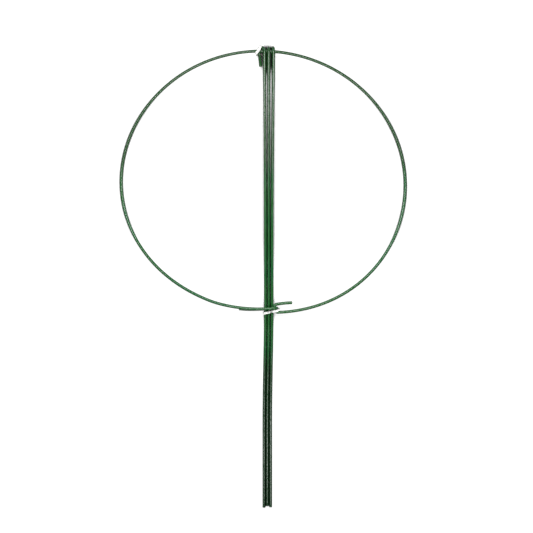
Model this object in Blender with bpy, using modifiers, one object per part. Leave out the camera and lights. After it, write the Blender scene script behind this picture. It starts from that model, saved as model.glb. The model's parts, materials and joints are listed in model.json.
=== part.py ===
"""A folded plant support: one open wire hoop and three hooked wire legs, held by two twist ties.

Units are metres. The support lies on its back as it is packed: +Y runs towards the hooks, +X to the
right of the hoop and +Z away from the surface that it lies on. The origin is below the middle of its
outer box.
"""

import math

import bmesh
import bpy
from mathutils import Vector

MM = 0.001

# Coated wire, the same stock for the hoop and the legs
COAT_DIAMETER = 4.2 * MM
CORE_DIAMETER = 2.8 * MM
CORE_CLEARANCE = 0.17 * MM
WIRE_GAP = 0.15 * MM

# Hoop outline: a ring with a little ovality, egg shape and squareness
HOOP_MEAN_RADIUS = 180.05 * MM
HOOP_OVALITY = 8.0 * MM
HOOP_OVALITY_ANGLE = math.radians(-7.9)
HOOP_EGG = 1.2 * MM
HOOP_EGG_ANGLE = math.radians(-47.5)
HOOP_SQUARENESS = 0.35 * MM
HOOP_SQUARENESS_ANGLE = math.radians(22.7)
HOOP_STEP = math.radians(6.0)

# Closure, where the two ends of the hoop hook into each other
CLOSURE_OFFSET = 18.5 * MM
EYE_WIDTH = 6.8 * MM
EYE_TAIL_LENGTH = 19.2 * MM
EYE_TAIL_SPREAD = 1.7 * MM
EYE_TAIL_LIFT = 1.2 * MM
FOLD_TAIL_LENGTH = 49.8 * MM
FOLD_TAIL_DROP = 1.5 * MM
LEFT_END_ANGLE = math.radians(28.0)
LEFT_END_EASE = 1.25

# Legs
LEG_LENGTHS = {"left_leg": 610.0 * MM, "middle_leg": 607.8 * MM, "right_leg": 609.4 * MM}
LEG_SIDES = {"left_leg": -1, "middle_leg": 0, "right_leg": 1}
BUNDLE_OFFSET = 6.35 * MM
BUNDLE_SWAY = 1.9 * MM
SWAY_LENGTH = 150.0 * MM
FAN_LENGTH = 230.0 * MM
FAN_EASE = 1.5
LEG_STEP = 26.0 * MM

# Hook at the head of each leg
HOOK_BORE = 7.9 * MM
HOOK_MOUTH = 5.0 * MM
HOOK_CORNER = 4.9 * MM
HOOK_LIMB_LENGTH = 20.5 * MM
CROWN_PLAY = 0.55 * MM
HOOP_PLAY = 0.2 * MM
HOOK_TURNS = {
    "left_leg": math.radians(41.0),
    "middle_leg": math.radians(6.0),
    "right_leg": math.radians(9.6),
}
HOOK_RETURNS = {"left_leg": 0.15, "middle_leg": 0.0, "right_leg": 1.0}
RETURN_LENGTH = 7.0 * MM
BEND_STEP = math.radians(18.0)

# Twist ties
TIE_WIDTH = 3.4 * MM
TIE_THICKNESS = 0.5 * MM
TIE_CLEARANCE = 0.3 * MM
TIE_PLY_GAP = 0.6 * MM
TWIST_WIDTH = 2.1 * MM
TWIST_LENGTH = 18.0 * MM
TWIST_PITCH = 10.0 * MM
TWIST_STEP = math.radians(30.0)
TIE_STEPS = 4

# Sizes that follow from those above
WIRE_RADIUS = COAT_DIAMETER / 2
COAT_WALL = (COAT_DIAMETER - CORE_DIAMETER) / 2 - CORE_CLEARANCE
WIRE_PITCH = COAT_DIAMETER + WIRE_GAP
HOOK_SPAN = HOOK_BORE + COAT_DIAMETER
MOUTH_SPAN = HOOK_MOUTH + COAT_DIAMETER
CROWN_FLAT = HOOK_SPAN - 2 * HOOK_CORNER
EYE_RADIUS = (EYE_WIDTH + COAT_DIAMETER) / 2
SHANK_HEIGHT = WIRE_RADIUS + HOOK_SPAN
HOOP_TOP_HEIGHT = SHANK_HEIGHT - WIRE_PITCH - HOOP_PLAY
TIE_STANDOFF = TIE_CLEARANCE + TIE_THICKNESS / 2
TIE_RISE = TIE_CLEARANCE + TIE_THICKNESS
HEAD_Y = (max(LEG_LENGTHS.values()) - TIE_RISE) / 2
HOOP_TOP_Y = HEAD_Y - COAT_DIAMETER - CROWN_PLAY - WIRE_RADIUS
CROWN_Y = HEAD_Y - WIRE_RADIUS - HOOK_CORNER
PLY_OFFSET = (TIE_THICKNESS + TIE_PLY_GAP) / 2

# Finishes
GREEN = (0.012, 0.105, 0.045, 1.0)
STEEL = (0.42, 0.42, 0.41, 1.0)
WHITE = (0.90, 0.89, 0.84, 1.0)
GREEN_ROUGHNESS = 0.3
STEEL_ROUGHNESS = 0.35
WHITE_ROUGHNESS = 0.6


def clear_scene():
    for thing in list(bpy.data.objects):
        bpy.data.objects.remove(thing)


def make_collection(name):
    group = bpy.data.collections.new(name)
    bpy.context.scene.collection.children.link(group)
    return group


def make_material(name, colour, roughness, metallic):
    material = bpy.data.materials.new(name)
    material.use_nodes = True
    shader = material.node_tree.nodes["Principled BSDF"]
    shader.inputs["Base Color"].default_value = colour
    shader.inputs["Roughness"].default_value = roughness
    shader.inputs["Metallic"].default_value = metallic
    return material


def coat_material(name):
    return make_material(name, GREEN, GREEN_ROUGHNESS, metallic=0.0)


def core_material(name):
    return make_material(name, STEEL, STEEL_ROUGHNESS, metallic=1.0)


def tie_material(name):
    return make_material(name, WHITE, WHITE_ROUGHNESS, metallic=0.0)


def ease(share):
    """A smooth step from 0 to 1 as the share goes from 0 to 1."""
    share = min(max(share, 0.0), 1.0)
    return share * share * (3 - 2 * share)


def steps_between(first, last, step):
    """Evenly spaced values from first to last, both included, no further apart than step."""
    count = max(1, math.ceil(abs(last - first) / step - 1e-6))
    return [first + (last - first) * i / count for i in range(count + 1)]


# Hoop outline, about the middle of the ring


def ring_radius(angle):
    return (
        HOOP_MEAN_RADIUS
        + HOOP_OVALITY * math.cos(2 * (angle - HOOP_OVALITY_ANGLE))
        + HOOP_EGG * math.cos(3 * (angle - HOOP_EGG_ANGLE))
        + HOOP_SQUARENESS * math.cos(4 * (angle - HOOP_SQUARENESS_ANGLE))
    )


def ring_angle_at(across, above):
    """The angle at which the ring is this far right of its middle, on its upper or its lower side."""
    side = 1 if above else -1
    angle = side * math.pi / 2
    for _ in range(20):
        angle = side * math.acos(across / ring_radius(angle))
    return angle


def ring_side_limits():
    """The ring's least and greatest x about its middle."""
    reach = [ring_radius(a) * math.cos(a) for a in steps_between(0, 2 * math.pi, math.radians(0.5))]
    return min(reach), max(reach)


def ring_centre():
    """The middle of the ring, placed so that its width is centred and its top passes through the hooks."""
    least, most = ring_side_limits()
    top_angle = ring_angle_at(BUNDLE_OFFSET, above=True)
    top_y = ring_radius(top_angle) * math.sin(top_angle)
    return Vector((-(least + most) / 2, HOOP_TOP_Y - top_y, 0))


RING_CENTRE = ring_centre()
BUNDLE_X = RING_CENTRE.x + BUNDLE_OFFSET


def eye_centre():
    """The middle of the right end's round bend, in plan."""
    angle = ring_angle_at(CLOSURE_OFFSET, above=False)
    low = ring_radius(angle) * math.sin(angle)
    return RING_CENTRE + Vector((CLOSURE_OFFSET, low + EYE_RADIUS, 0))


EYE_CENTRE = eye_centre()


def leg_height(y):
    """A leg's centre line comes down evenly from its hook to its tip, which lies on the surface."""
    tip = HEAD_Y - max(LEG_LENGTHS.values())
    share = (CROWN_Y - y) / (CROWN_Y - tip)
    return SHANK_HEIGHT + (WIRE_RADIUS - SHANK_HEIGHT) * share


FOLD_LOW_HEIGHT = leg_height(EYE_CENTRE.y) + WIRE_PITCH
EYE_HEIGHT = FOLD_LOW_HEIGHT + WIRE_PITCH
FOLD_HIGH_HEIGHT = EYE_HEIGHT + WIRE_PITCH
FOLD_X = EYE_CENTRE.x - EYE_RADIUS


def ring_height(angle, closure_height):
    """The ring touches the surface at both sides and bows up to the hooks and to the closure."""
    lift = HOOP_TOP_HEIGHT if math.sin(angle) > 0 else closure_height
    return WIRE_RADIUS + (lift - WIRE_RADIUS) * math.sin(angle) ** 2


def to_fold():
    """From the middle of the ring to the left end's fold, in plan."""
    return Vector((FOLD_X, EYE_CENTRE.y)) - RING_CENTRE.xy


def fold_angle():
    return math.atan2(to_fold().y, to_fold().x)


def left_end_point(angle, height):
    """A point of the left end, which is drawn in from the ring so that it meets the eye."""
    inset = ring_radius(fold_angle()) - to_fold().length
    share = max(0.0, 1 - (fold_angle() - angle) / LEFT_END_ANGLE)
    radius = ring_radius(angle) - inset * share**LEFT_END_EASE
    return RING_CENTRE + Vector((radius * math.cos(angle), radius * math.sin(angle), height))


def fold_tail():
    """The left end's last run, from its cut end back to the fold, below the wire that it doubles."""
    points = []
    for share in steps_between(1.0, 0.0, 0.2):
        angle = fold_angle() - share * FOLD_TAIL_LENGTH / HOOP_MEAN_RADIUS
        point = left_end_point(angle, FOLD_LOW_HEIGHT)
        point.y -= FOLD_TAIL_DROP * ease(share)
        points.append(point)
    return points


def fold_bend():
    """The left end's narrow bend, which stands upright and goes round the eye's wire."""
    points = []
    for turn in steps_between(-math.pi / 2, math.pi / 2, BEND_STEP)[1:]:
        across = WIRE_PITCH * math.cos(turn)
        up = WIRE_PITCH * math.sin(turn)
        points.append(Vector((FOLD_X + across, EYE_CENTRE.y, EYE_HEIGHT + up)))
    return points


def ring_run():
    """The hoop from the fold, round the left, the top and the right, to the eye."""
    last = ring_angle_at(CLOSURE_OFFSET, above=False)
    points = []
    for angle in steps_between(fold_angle(), last - 2 * math.pi, HOOP_STEP)[1:]:
        if angle > -math.pi * 1.5:
            points.append(left_end_point(angle, ring_height(angle, FOLD_HIGH_HEIGHT)))
        else:
            points.append(left_end_point(angle, ring_height(angle, EYE_HEIGHT)))
    return points


def eye_bend():
    """The right end's round bend, which lies flat."""
    points = []
    for turn in steps_between(-math.pi / 2, -math.pi * 1.5, BEND_STEP)[1:]:
        across = EYE_RADIUS * math.cos(turn)
        along = EYE_RADIUS * math.sin(turn)
        points.append(EYE_CENTRE + Vector((across, along, EYE_HEIGHT)))
    return points


def eye_tail():
    """The right end's last run, which opens a little away from the ring."""
    points = []
    for share in steps_between(0.0, 1.0, 0.25)[1:]:
        across = EYE_TAIL_LENGTH * share
        along = EYE_RADIUS + EYE_TAIL_SPREAD * math.sin(share * math.pi / 2)
        points.append(EYE_CENTRE + Vector((across, along, EYE_HEIGHT + EYE_TAIL_LIFT * share)))
    return points


def hoop_route():
    return fold_tail() + fold_bend() + ring_run() + eye_bend() + eye_tail()


# Legs


def hook_side_shift(name):
    """How far to the left of its shank a hook's limb lies."""
    return HOOK_SPAN * math.sin(HOOK_TURNS[name])


def leg_x(name, y):
    """A leg's place across the bundle: spread by the hooks at the head, side by side further down."""
    side = LEG_SIDES[name]
    neighbour = "middle_leg" if side < 0 else name
    spread = hook_side_shift(neighbour)
    hook_end = CROWN_Y - HOOK_LIMB_LENGTH
    fan = 1 - min(max((hook_end - y) / FAN_LENGTH, 0.0), 1.0)
    sway = BUNDLE_SWAY * ease((EYE_CENTRE.y - y) / SWAY_LENGTH)
    return BUNDLE_X - sway + side * (WIRE_PITCH + spread * fan**FAN_EASE)


def hook_direction(name, down=0.0):
    """From a leg's shank towards its hook's limb, this far below the crown.

    A limb may turn back under its shank.
    """
    turn = HOOK_TURNS[name] * (1 - HOOK_RETURNS[name] * ease(down / RETURN_LENGTH))
    return Vector((-math.sin(turn), 0, -math.cos(turn)))


def hook_limb(name):
    """The hook's free limb, from its cut end up to the crown. It closes in a little towards its end."""
    shank = Vector((leg_x(name, CROWN_Y), CROWN_Y, SHANK_HEIGHT))
    points = []
    for share in steps_between(1.0, 0.0, 0.25):
        span = HOOK_SPAN + (MOUTH_SPAN - HOOK_SPAN) * ease(share)
        down = HOOK_LIMB_LENGTH * share
        points.append(shank + span * hook_direction(name, down) - Vector((0, down, 0)))
    return points


def hook_crown(name):
    """Over the hoop's wire in two round corners with a short flat between them."""
    shank = Vector((leg_x(name, CROWN_Y), CROWN_Y, SHANK_HEIGHT))
    middle = shank + HOOK_SPAN / 2 * hook_direction(name)
    points = []
    for way, turns in ((1, (0.0, math.pi / 2)), (-1, (math.pi / 2, math.pi))):
        for turn in steps_between(*turns, BEND_STEP):
            across = way * CROWN_FLAT / 2 + HOOK_CORNER * math.cos(turn)
            along = Vector((0, HOOK_CORNER * math.sin(turn), 0))
            points.append(middle + across * hook_direction(name) + along)
    return points[1:]


def leg_shank(name):
    """The long straight run down to the cut tip."""
    tip = HEAD_Y - LEG_LENGTHS[name]
    return [Vector((leg_x(name, y), y, leg_height(y))) for y in steps_between(CROWN_Y, tip, LEG_STEP)[1:]]


def leg_route(name):
    return hook_limb(name) + hook_crown(name) + leg_shank(name)


def leg_pivot(name):
    """The middle of the hoop's wire inside this leg's hook."""
    across = leg_x(name, CROWN_Y) - hook_side_shift(name) / 2 - RING_CENTRE.x
    angle = ring_angle_at(across, above=True)
    radius = ring_radius(angle)
    plan = Vector((radius * math.cos(angle), radius * math.sin(angle), 0))
    return RING_CENTRE + plan + Vector((0, 0, ring_height(angle, EYE_HEIGHT)))


# Wires


def make_wire(name, route, diameter, filled, origin, group):
    """A round wire along a route, as a curve object whose origin is the given point."""
    curve = bpy.data.curves.new(name, "CURVE")
    curve.dimensions = "3D"
    curve.bevel_depth = diameter / 2
    curve.bevel_resolution = 2
    curve.use_fill_caps = filled
    spline = curve.splines.new("POLY")
    spline.points.add(len(route) - 1)
    for place, point in zip(spline.points, route):
        place.co = (*(point - origin), 1.0)
    spline.use_smooth = True
    wire = bpy.data.objects.new(name, curve)
    group.objects.link(wire)
    return wire


def make_core(name, route, origin, group):
    core = make_wire(name, route, CORE_DIAMETER, True, origin, group)
    core.data.materials.append(core_material(name))
    return core


def make_coat(name, route, origin, group):
    """The plastic coat: a thin open tube over the core, cut flush with it at both ends."""
    coat = make_wire(name, route, COAT_DIAMETER, False, origin, group)
    coat.data.materials.append(coat_material(name))
    wall = coat.modifiers.new("coat wall", "SOLIDIFY")
    wall.thickness = COAT_WALL
    wall.offset = -1.0
    return coat


def make_hoop(group):
    route = hoop_route()
    make_core("hoop_core", route, Vector(), group)
    make_coat("hoop_coat", route, Vector(), group)


def make_leg(name, group):
    """A leg on an empty that stands on its joint's axis."""
    pivot = leg_pivot(name)
    joint = bpy.data.objects.new(name + "_pivot", None)
    joint.location = pivot
    group.objects.link(joint)
    route = leg_route(name)
    core = make_core(name + "_core", route, pivot, group)
    coat = make_coat(name + "_coat", route, pivot, group)
    for piece in (core, coat):
        piece.parent = joint
    print(name, "pivot", [round(value, 6) for value in pivot])
    print(name, "tip", [round(value, 6) for value in route[-1]])


# Twist ties


def smooth_between(before, first, second, after, share):
    """A point on the smooth curve through four neighbours, between the middle two."""
    a = 2 * first
    b = second - before
    c = 2 * before - 5 * first + 4 * second - after
    d = after - before + 3 * (first - second)
    return (a + b * share + c * share**2 + d * share**3) / 2


def smooth_through(values, steps):
    """A smooth line of points through all the values."""
    ends = [2 * values[0] - values[1], *values, 2 * values[-1] - values[-2]]
    points = []
    for i in range(len(values) - 1):
        points += [smooth_between(*ends[i : i + 4], step / steps) for step in range(steps)]
    return [*points, values[-1]]


def same_way(widths):
    """Turns each direction round where it points against the one before it."""
    turned = [widths[0]]
    for width in widths[1:]:
        turned.append(width if width.dot(turned[-1]) >= 0 else -width)
    return turned


def twisted_ply(start, direction, first_width, side):
    """Stations of one of the two strips that are twisted round each other, from the start of the twist."""
    stations = []
    share = TWIST_WIDTH / TIE_WIDTH
    turns = TWIST_LENGTH / TWIST_PITCH * 2 * math.pi
    for turn in steps_between(0.0, turns, TWIST_STEP):
        across = first_width * math.cos(turn) + direction.cross(first_width) * math.sin(turn)
        normal = across.cross(direction)
        place = start + direction * (turn / (2 * math.pi) * TWIST_PITCH) + normal * (side * PLY_OFFSET)
        stations.append((place, across * share))
    return stations


def make_tie(name, loop, start, direction, first_width, group):
    """A tie as one unbroken strip: up one twisted ply, round the loop and down the other ply."""
    first_ply = twisted_ply(start, direction, first_width, 1)
    last_ply = twisted_ply(start, direction, first_width, -1)
    loop = [first_ply[0], *loop, last_ply[0]]
    places = smooth_through([place for place, _ in loop], TIE_STEPS)
    widths = smooth_through(same_way([width for _, width in loop]), TIE_STEPS)
    stations = first_ply[:0:-1] + list(zip(places, widths)) + last_ply[1:]
    return make_strip(name, stations, group)


def make_strip(name, stations, group):
    """A flat strip with three points at each station, thickened to a closed solid."""
    frame = bmesh.new()
    rows = []
    widths = same_way([width for _, width in stations])
    for i, (place, width) in enumerate(zip([place for place, _ in stations], widths)):
        before = stations[max(i - 1, 0)][0]
        after = stations[min(i + 1, len(stations) - 1)][0]
        heading = (after - before).normalized()
        across = (width - heading * width.dot(heading)).normalized() * width.length * TIE_WIDTH / 2
        rows.append([frame.verts.new(place + across * side) for side in (-1, 0, 1)])
    for row, following in zip(rows, rows[1:]):
        for i in range(2):
            frame.faces.new((row[i], row[i + 1], following[i + 1], following[i]))
    mesh = bpy.data.meshes.new(name)
    frame.to_mesh(mesh)
    frame.free()
    mesh.shade_smooth()
    tie = bpy.data.objects.new(name, mesh)
    group.objects.link(tie)
    tie.data.materials.append(tie_material(name))
    body = tie.modifiers.new("tie thickness", "SOLIDIFY")
    body.thickness = TIE_THICKNESS
    body.offset = 0.0
    return tie


def twist_gap():
    """The space between the two twisted plies at their edges, where they lean most."""
    lean = math.atan2(math.pi * TWIST_WIDTH, TWIST_PITCH)
    return 2 * PLY_OFFSET * math.cos(lean) - TIE_THICKNESS


def off(anchor, across, along, up):
    """A point this many millimetres from an anchor: to the right, towards the hooks and upwards."""
    return anchor + Vector((across, along, up)) * MM


def make_closure_tie(group):
    """The tie round the three legs and the eye.

    It comes up on the left, crosses in front and goes down in the eye.
    """
    height = leg_height(EYE_CENTRE.y)
    lift = WIRE_RADIUS + TIE_STANDOFF
    middle = Vector((BUNDLE_X, EYE_CENTRE.y, height))
    left = middle - Vector((WIRE_PITCH + lift, 0, 0))
    front = middle + Vector((0, 0, lift))
    back = middle - Vector((0, 0, lift))
    eye_front = EYE_CENTRE + Vector((0, 0, EYE_HEIGHT + lift))
    eye_inside = EYE_CENTRE + Vector((0, 0, EYE_HEIGHT))
    fold_back = EYE_CENTRE + Vector((0, 0, FOLD_LOW_HEIGHT - lift))
    twist = middle - Vector((0, 0, (height + WIRE_RADIUS) / 2))
    along = Vector((0, 1, 0))
    slanted = Vector((-0.25, 0.85, 0))
    leaning = Vector((-0.2, 0.75, 0.4))
    narrow = Vector((0, 0.62, 0))
    upright = Vector((0, 0, 1))
    stations = [
        (off(twist, 1.4, -7.4, 0), upright),
        (off(back, 4.2, -5.0, -0.5), Vector((0, 0.9, 0.3))),
        (off(back, 9.4, -3.2, 1.0), narrow),
        (off(fold_back, 1.2, -1.4, 0), narrow),
        (off(eye_inside, 2.3, -1.0, 0), narrow),
        (off(eye_front, 0.6, -2.9, 0.2), Vector((-0.2, 0.62, 0))),
        (off(eye_front, -4.7, -4.4, 0.5), slanted),
        (off(eye_front, -7.9, -4.7, -1.6), leaning),
        (off(front, 3.0, -4.9, 2.2), leaning),
        (off(front, -0.9, -5.8, 0), slanted),
        (off(left, 1.7, -7.0, lift / MM), slanted),
        (off(left, 0, -7.8, 0), along),
        (off(left, 1.3, -8.3, -lift / MM), along),
        (off(back, -3.6, -8.8, -1.1), Vector((0, 0.7, 0.7))),
        (off(twist, -1.3, -9.8, 0), upright),
    ]
    return make_tie("closure_tie", stations, off(twist, 0, -11.8, 0), Vector((0, -1, 0)), upright, group)


def make_head_tie(group):
    """The tie round the hoop's top and the left leg's hook. Its twist lies behind the left leg."""
    shank = Vector((leg_x("left_leg", CROWN_Y), leg_pivot("left_leg").y, 0))
    limb = shank + HOOK_SPAN * hook_direction("left_leg") + Vector((0, 0, SHANK_HEIGHT))
    lift = WIRE_RADIUS + TIE_STANDOFF
    front = Vector((limb.x, limb.y, HOOP_TOP_HEIGHT + lift))
    back = limb - Vector((0, 0, lift))
    crown = Vector((limb.x, HEAD_Y + TIE_STANDOFF, HOOP_TOP_HEIGHT))
    twist = shank + Vector((0, 0, limb.z - 0.4 * MM))
    across = Vector((0.85, -0.52, 0))
    turned = Vector((0.3, -0.95, 0))
    sideways = Vector((1, 0, 0))
    lengthways = Vector((-0.2, -0.9, 0))
    upright = Vector((0, 0, 1))
    stations = [
        (off(twist, 0.2, -3.4, -1.2), Vector((0.8, 0, 0.4))),
        (off(twist, -2.6, 3.0, -1.6), sideways),
        (off(crown, 4.0, -1.6, -4.8), sideways),
        (off(crown, 3.1, 0, -0.6), sideways),
        (off(crown, 2.7, -0.7, 3.4), Vector((1, -0.3, 0))),
        (off(front, 1.7, 3.6, 2.2), across),
        (off(front, -1.0, -0.4, 0.9), across),
        (off(front, -3.6, -3.9, -1.0), turned),
        (off(limb, -3.1, -4.9, 0), turned),
        (off(back, 0, -4.4, 0), lengthways),
        (off(back, 4.2, -4.6, 0.5), Vector((-0.2, -0.7, -0.3))),
        (off(twist, -1.3, -6.2, -0.4), Vector((-0.3, -0.2, -0.7))),
    ]
    return make_tie("head_tie", stations, off(twist, 0, -10.4, 0), Vector((0, -1, 0)), upright, group)


def main():
    clear_scene()
    group = make_collection("plant_support")
    make_hoop(group)
    for name in LEG_LENGTHS:
        make_leg(name, group)
    make_closure_tie(group)
    make_head_tie(group)
    print("least gap between the twisted plies", round(twist_gap() / MM, 2), "mm")


main()
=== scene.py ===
"""The looks of the folded plant support: vinyl coated wires with steel cores and two white twist ties.

Units are metres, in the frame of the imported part: +Y runs towards the hooks, +X to the hoop's right and +Z
away from the surface that it lies on.
"""

import json
import math

import bpy
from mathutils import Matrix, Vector


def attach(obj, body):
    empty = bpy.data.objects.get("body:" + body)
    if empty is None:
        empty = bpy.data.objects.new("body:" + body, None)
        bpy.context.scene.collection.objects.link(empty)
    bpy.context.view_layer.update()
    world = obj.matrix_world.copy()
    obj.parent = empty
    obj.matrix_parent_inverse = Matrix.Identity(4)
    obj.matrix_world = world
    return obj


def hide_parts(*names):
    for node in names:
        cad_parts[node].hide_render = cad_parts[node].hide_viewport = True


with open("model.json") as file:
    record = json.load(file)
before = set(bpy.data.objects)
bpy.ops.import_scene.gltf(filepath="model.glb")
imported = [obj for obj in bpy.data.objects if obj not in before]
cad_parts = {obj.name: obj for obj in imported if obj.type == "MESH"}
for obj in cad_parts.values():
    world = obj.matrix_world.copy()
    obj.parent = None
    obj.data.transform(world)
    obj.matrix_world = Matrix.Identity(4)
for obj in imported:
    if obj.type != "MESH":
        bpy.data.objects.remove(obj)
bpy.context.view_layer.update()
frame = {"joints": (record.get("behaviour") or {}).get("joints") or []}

MM = 0.001

# Coated wire, as the part has it
COAT_DIAMETER = 4.2 * MM
CORE_DIAMETER = 2.8 * MM
CORE_CLEARANCE = 0.17 * MM
WIRE_GAP = 0.15 * MM

# Hoop outline
HOOP_MEAN_RADIUS = 180.05 * MM
HOOP_OVALITY = 8.0 * MM
HOOP_OVALITY_ANGLE = math.radians(-7.9)
HOOP_EGG = 1.2 * MM
HOOP_EGG_ANGLE = math.radians(-47.5)
HOOP_SQUARENESS = 0.35 * MM
HOOP_SQUARENESS_ANGLE = math.radians(22.7)

# Closure, where the two ends of the hoop hook into each other
CLOSURE_OFFSET = 18.5 * MM
EYE_WIDTH = 6.8 * MM
EYE_TAIL_LENGTH = 19.2 * MM
EYE_TAIL_SPREAD = 1.7 * MM
EYE_TAIL_LIFT = 1.2 * MM
FOLD_TAIL_LENGTH = 49.8 * MM
FOLD_TAIL_DROP = 1.5 * MM
LEFT_END_ANGLE = math.radians(28.0)
LEFT_END_EASE = 1.25

# Legs and their hooks
LEG_LENGTHS = {"left_leg": 610.0 * MM, "middle_leg": 607.8 * MM, "right_leg": 609.4 * MM}
LEG_SIDES = {"left_leg": -1, "middle_leg": 0, "right_leg": 1}
BUNDLE_OFFSET = 6.35 * MM
BUNDLE_SWAY = 1.9 * MM
SWAY_LENGTH = 150.0 * MM
FAN_LENGTH = 230.0 * MM
FAN_EASE = 1.5
HOOK_BORE = 7.9 * MM
HOOK_MOUTH = 5.0 * MM
HOOK_CORNER = 4.9 * MM
HOOK_LIMB_LENGTH = 20.5 * MM
CROWN_PLAY = 0.55 * MM
HOOP_PLAY = 0.2 * MM
HOOK_TURNS = {
    "left_leg": math.radians(41.0),
    "middle_leg": math.radians(6.0),
    "right_leg": math.radians(9.6),
}
HOOK_RETURNS = {"left_leg": 0.15, "middle_leg": 0.0, "right_leg": 1.0}
RETURN_LENGTH = 7.0 * MM

# Twist ties, as the part has them
TIE_WIDTH = 3.4 * MM
TIE_THICKNESS = 0.5 * MM
TIE_CLEARANCE = 0.3 * MM
TIE_PLY_GAP = 0.6 * MM
TWIST_WIDTH = 2.1 * MM
TWIST_LENGTH = 18.0 * MM
TWIST_PITCH = 10.0 * MM

# Fineness of the wires and ties
HOOP_STEP = math.radians(1.0)
LEG_STEP = 4.0 * MM
BEND_STEP = math.radians(3.0)
TAIL_STEP = 1.5 * MM
WIRE_SIDES = 24
TIE_STEPS = 14
TWIST_STEP = math.radians(8.0)
SHARP_ANGLE = math.radians(50.0)

# Details of the wires that only the looks have
COAT_SLACK = 0.04 * MM
COAT_SHRINK = 0.45 * MM
COAT_BEVEL = 0.28 * MM
SHEAR_DEPTH = 0.4 * MM
LUMP_HEIGHT = 0.014 * MM
WRINKLE_DEPTH = 0.07 * MM
WRINKLE_PITCH = 1.3 * MM
WRINKLE_BEND = 0.3
BEND_WEAR = 0.8
END_WEAR_LENGTH = 4.0 * MM
# Where painted shade darkens the coat in the grooves between legs: how near a neighbour lies and which way
# the coat faces
GROOVE_WIDTH = 2.0 * MM
GROOVE_FACING = 0.45
GROOVE_EDGE = 0.4
MARK_LENGTH = 20.0 * MM

# Details of the ties that only the looks have
TIE_FOIL = 0.22 * MM
TIE_BEAD = 0.72 * MM
TIE_WIRE = 0.42 * MM
TIE_WIRE_OUT = 0.5 * MM
TIE_CRINKLE = 0.09 * MM
TIE_CRINKLE_PITCH = 3.3 * MM
# Height and edge of the painted shade on the ties' low parts
TIE_SHADE_HEIGHT = 6.5 * MM
TIE_SHADE_EDGE = 1.5 * MM

# Sizes that follow from those above
WIRE_RADIUS = COAT_DIAMETER / 2
WIRE_PITCH = COAT_DIAMETER + WIRE_GAP
HOOK_SPAN = HOOK_BORE + COAT_DIAMETER
MOUTH_SPAN = HOOK_MOUTH + COAT_DIAMETER
CROWN_FLAT = HOOK_SPAN - 2 * HOOK_CORNER
EYE_RADIUS = (EYE_WIDTH + COAT_DIAMETER) / 2
SHANK_HEIGHT = WIRE_RADIUS + HOOK_SPAN
HOOP_TOP_HEIGHT = SHANK_HEIGHT - WIRE_PITCH - HOOP_PLAY
TIE_STANDOFF = TIE_CLEARANCE + TIE_THICKNESS / 2
TIE_RISE = TIE_CLEARANCE + TIE_THICKNESS
HEAD_Y = (max(LEG_LENGTHS.values()) - TIE_RISE) / 2
HOOP_TOP_Y = HEAD_Y - COAT_DIAMETER - CROWN_PLAY - WIRE_RADIUS
CROWN_Y = HEAD_Y - WIRE_RADIUS - HOOK_CORNER
PLY_OFFSET = (TIE_THICKNESS + TIE_PLY_GAP) / 2

# Camera, which looks straight down: the photograph's scale and the object's place in it
PIXELS = 533
MM_PER_PIXEL = 1.32
VIEW_CENTRE = Vector((4.3 * MM, 13.6 * MM, 10.0 * MM))
CAMERA_DISTANCE = 6.0
SENSOR = 36.0

# Light of the surround: overhead as against the sides, and on the object as against what is seen
CEILING_EDGE = (0.45, 0.85)
CEILING_LEVEL = 0.08
FILL_LEVEL = 0.25

# Floor, and the painted shade on it: where it changes along the legs and by the hooks, and by how much
FLOOR_HALF_SIDE = 12.0
SHADE_REACH = 30.0 * MM
SHADE_SAMPLES = 24
SHADE_LEVELS = (0.36, 0.58)
MIDDLE_ZONE = (-50.0 * MM, 60.0 * MM)
TIP_LIFT = 0.04
HEAD_LIFT = -0.14
HOOK_ZONE = (262.0 * MM, 288.0 * MM)
HOOK_LIFT = 0.2
BUNDLE_HALF_WIDTH = 6.0 * MM
SHADE_EDGE = 2.0 * MM
FLOOR_GLOW = 0.85

# Zones along the legs, at the head and at the tips, where painted shade darkens and greys the coat
HEAD_SHADE_ZONE = (120.0 * MM, 160.0 * MM)
TIP_SHADE_ZONE = (-135.0 * MM, -80.0 * MM)

# Colours of the coat, the steel, the ties and the floor
COOL_GREEN = (0.008, 0.096, 0.025)
WARM_GREEN = (0.014, 0.096, 0.018)
STREAK_GREEN = (0.020, 0.130, 0.042)
# Painted shade at the legs' heads and tips
HEAD_SHADE_GREEN = (0.018, 0.062, 0.017)
TIP_SHADE_GREEN = (0.013, 0.032, 0.015)
SCUFF_GREEN = (0.075, 0.170, 0.100)
# Painted shade in the grooves between legs
GROOVE_SHADE = (0.001, 0.003, 0.001)
STEEL = (0.46, 0.46, 0.45)
STEEL_TARNISH = (0.27, 0.25, 0.22)
TIE_STEEL = (0.5, 0.5, 0.49)
TIE_STEEL_TARNISH = (0.34, 0.33, 0.31)
TIE_WHITE = (0.96, 0.96, 0.94)
TIE_OFF_WHITE = (0.90, 0.90, 0.87)
EDGE_GREY_WHITE = (0.56, 0.55, 0.50)
# Painted shade on the ties' low parts
TIE_SHADE_COLOUR = (0.07, 0.065, 0.05)
# Floor colours in painted shade and in the open
FLOOR_SHADED = (0.02, 0.02, 0.02)
FLOOR_OPEN = (0.3, 0.3, 0.3)


def ease(share):
    """A smooth step from 0 to 1 as the share goes from 0 to 1."""
    share = min(max(share, 0.0), 1.0)
    return share * share * (3 - 2 * share)


def steps_between(first, last, step):
    """Evenly spaced values from first to last, both included, no further apart than step."""
    count = max(1, math.ceil(abs(last - first) / step - 1e-6))
    return [first + (last - first) * i / count for i in range(count + 1)]


# Hoop outline, about the middle of the ring


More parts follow.
